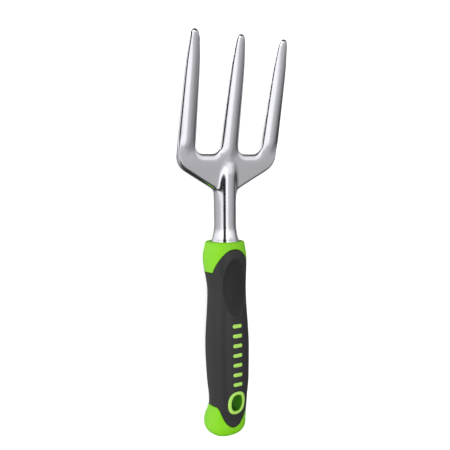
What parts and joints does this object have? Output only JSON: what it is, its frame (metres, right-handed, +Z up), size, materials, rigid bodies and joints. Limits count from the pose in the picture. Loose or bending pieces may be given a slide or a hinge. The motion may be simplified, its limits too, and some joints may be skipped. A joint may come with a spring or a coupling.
{
  "type": "hand fork",
  "caption": "Short-handled garden fork with flat tapering tines, cast in light metal and moulded into a two-shot grip with a hang hole through its end.",
  "frame": {"origin": "centre of the tool's box, on the bench it lies on", "axes": "+X from the pommel to the tips of the tines, +Y across the head, +Z up from the bench to the thumb side"},
  "size_m": [0.3096, 0.0898, 0.0472],
  "materials": {
    "casting": "polished",
    "hard_shot": "satin lime green",
    "soft_shot": "matte dark grey"
  },
  "bodies": {
    "root": {"fork_head": "casting", "handle_core": "hard_shot", "grip_sleeve": "soft_shot"}
  },
  "joints": []
}
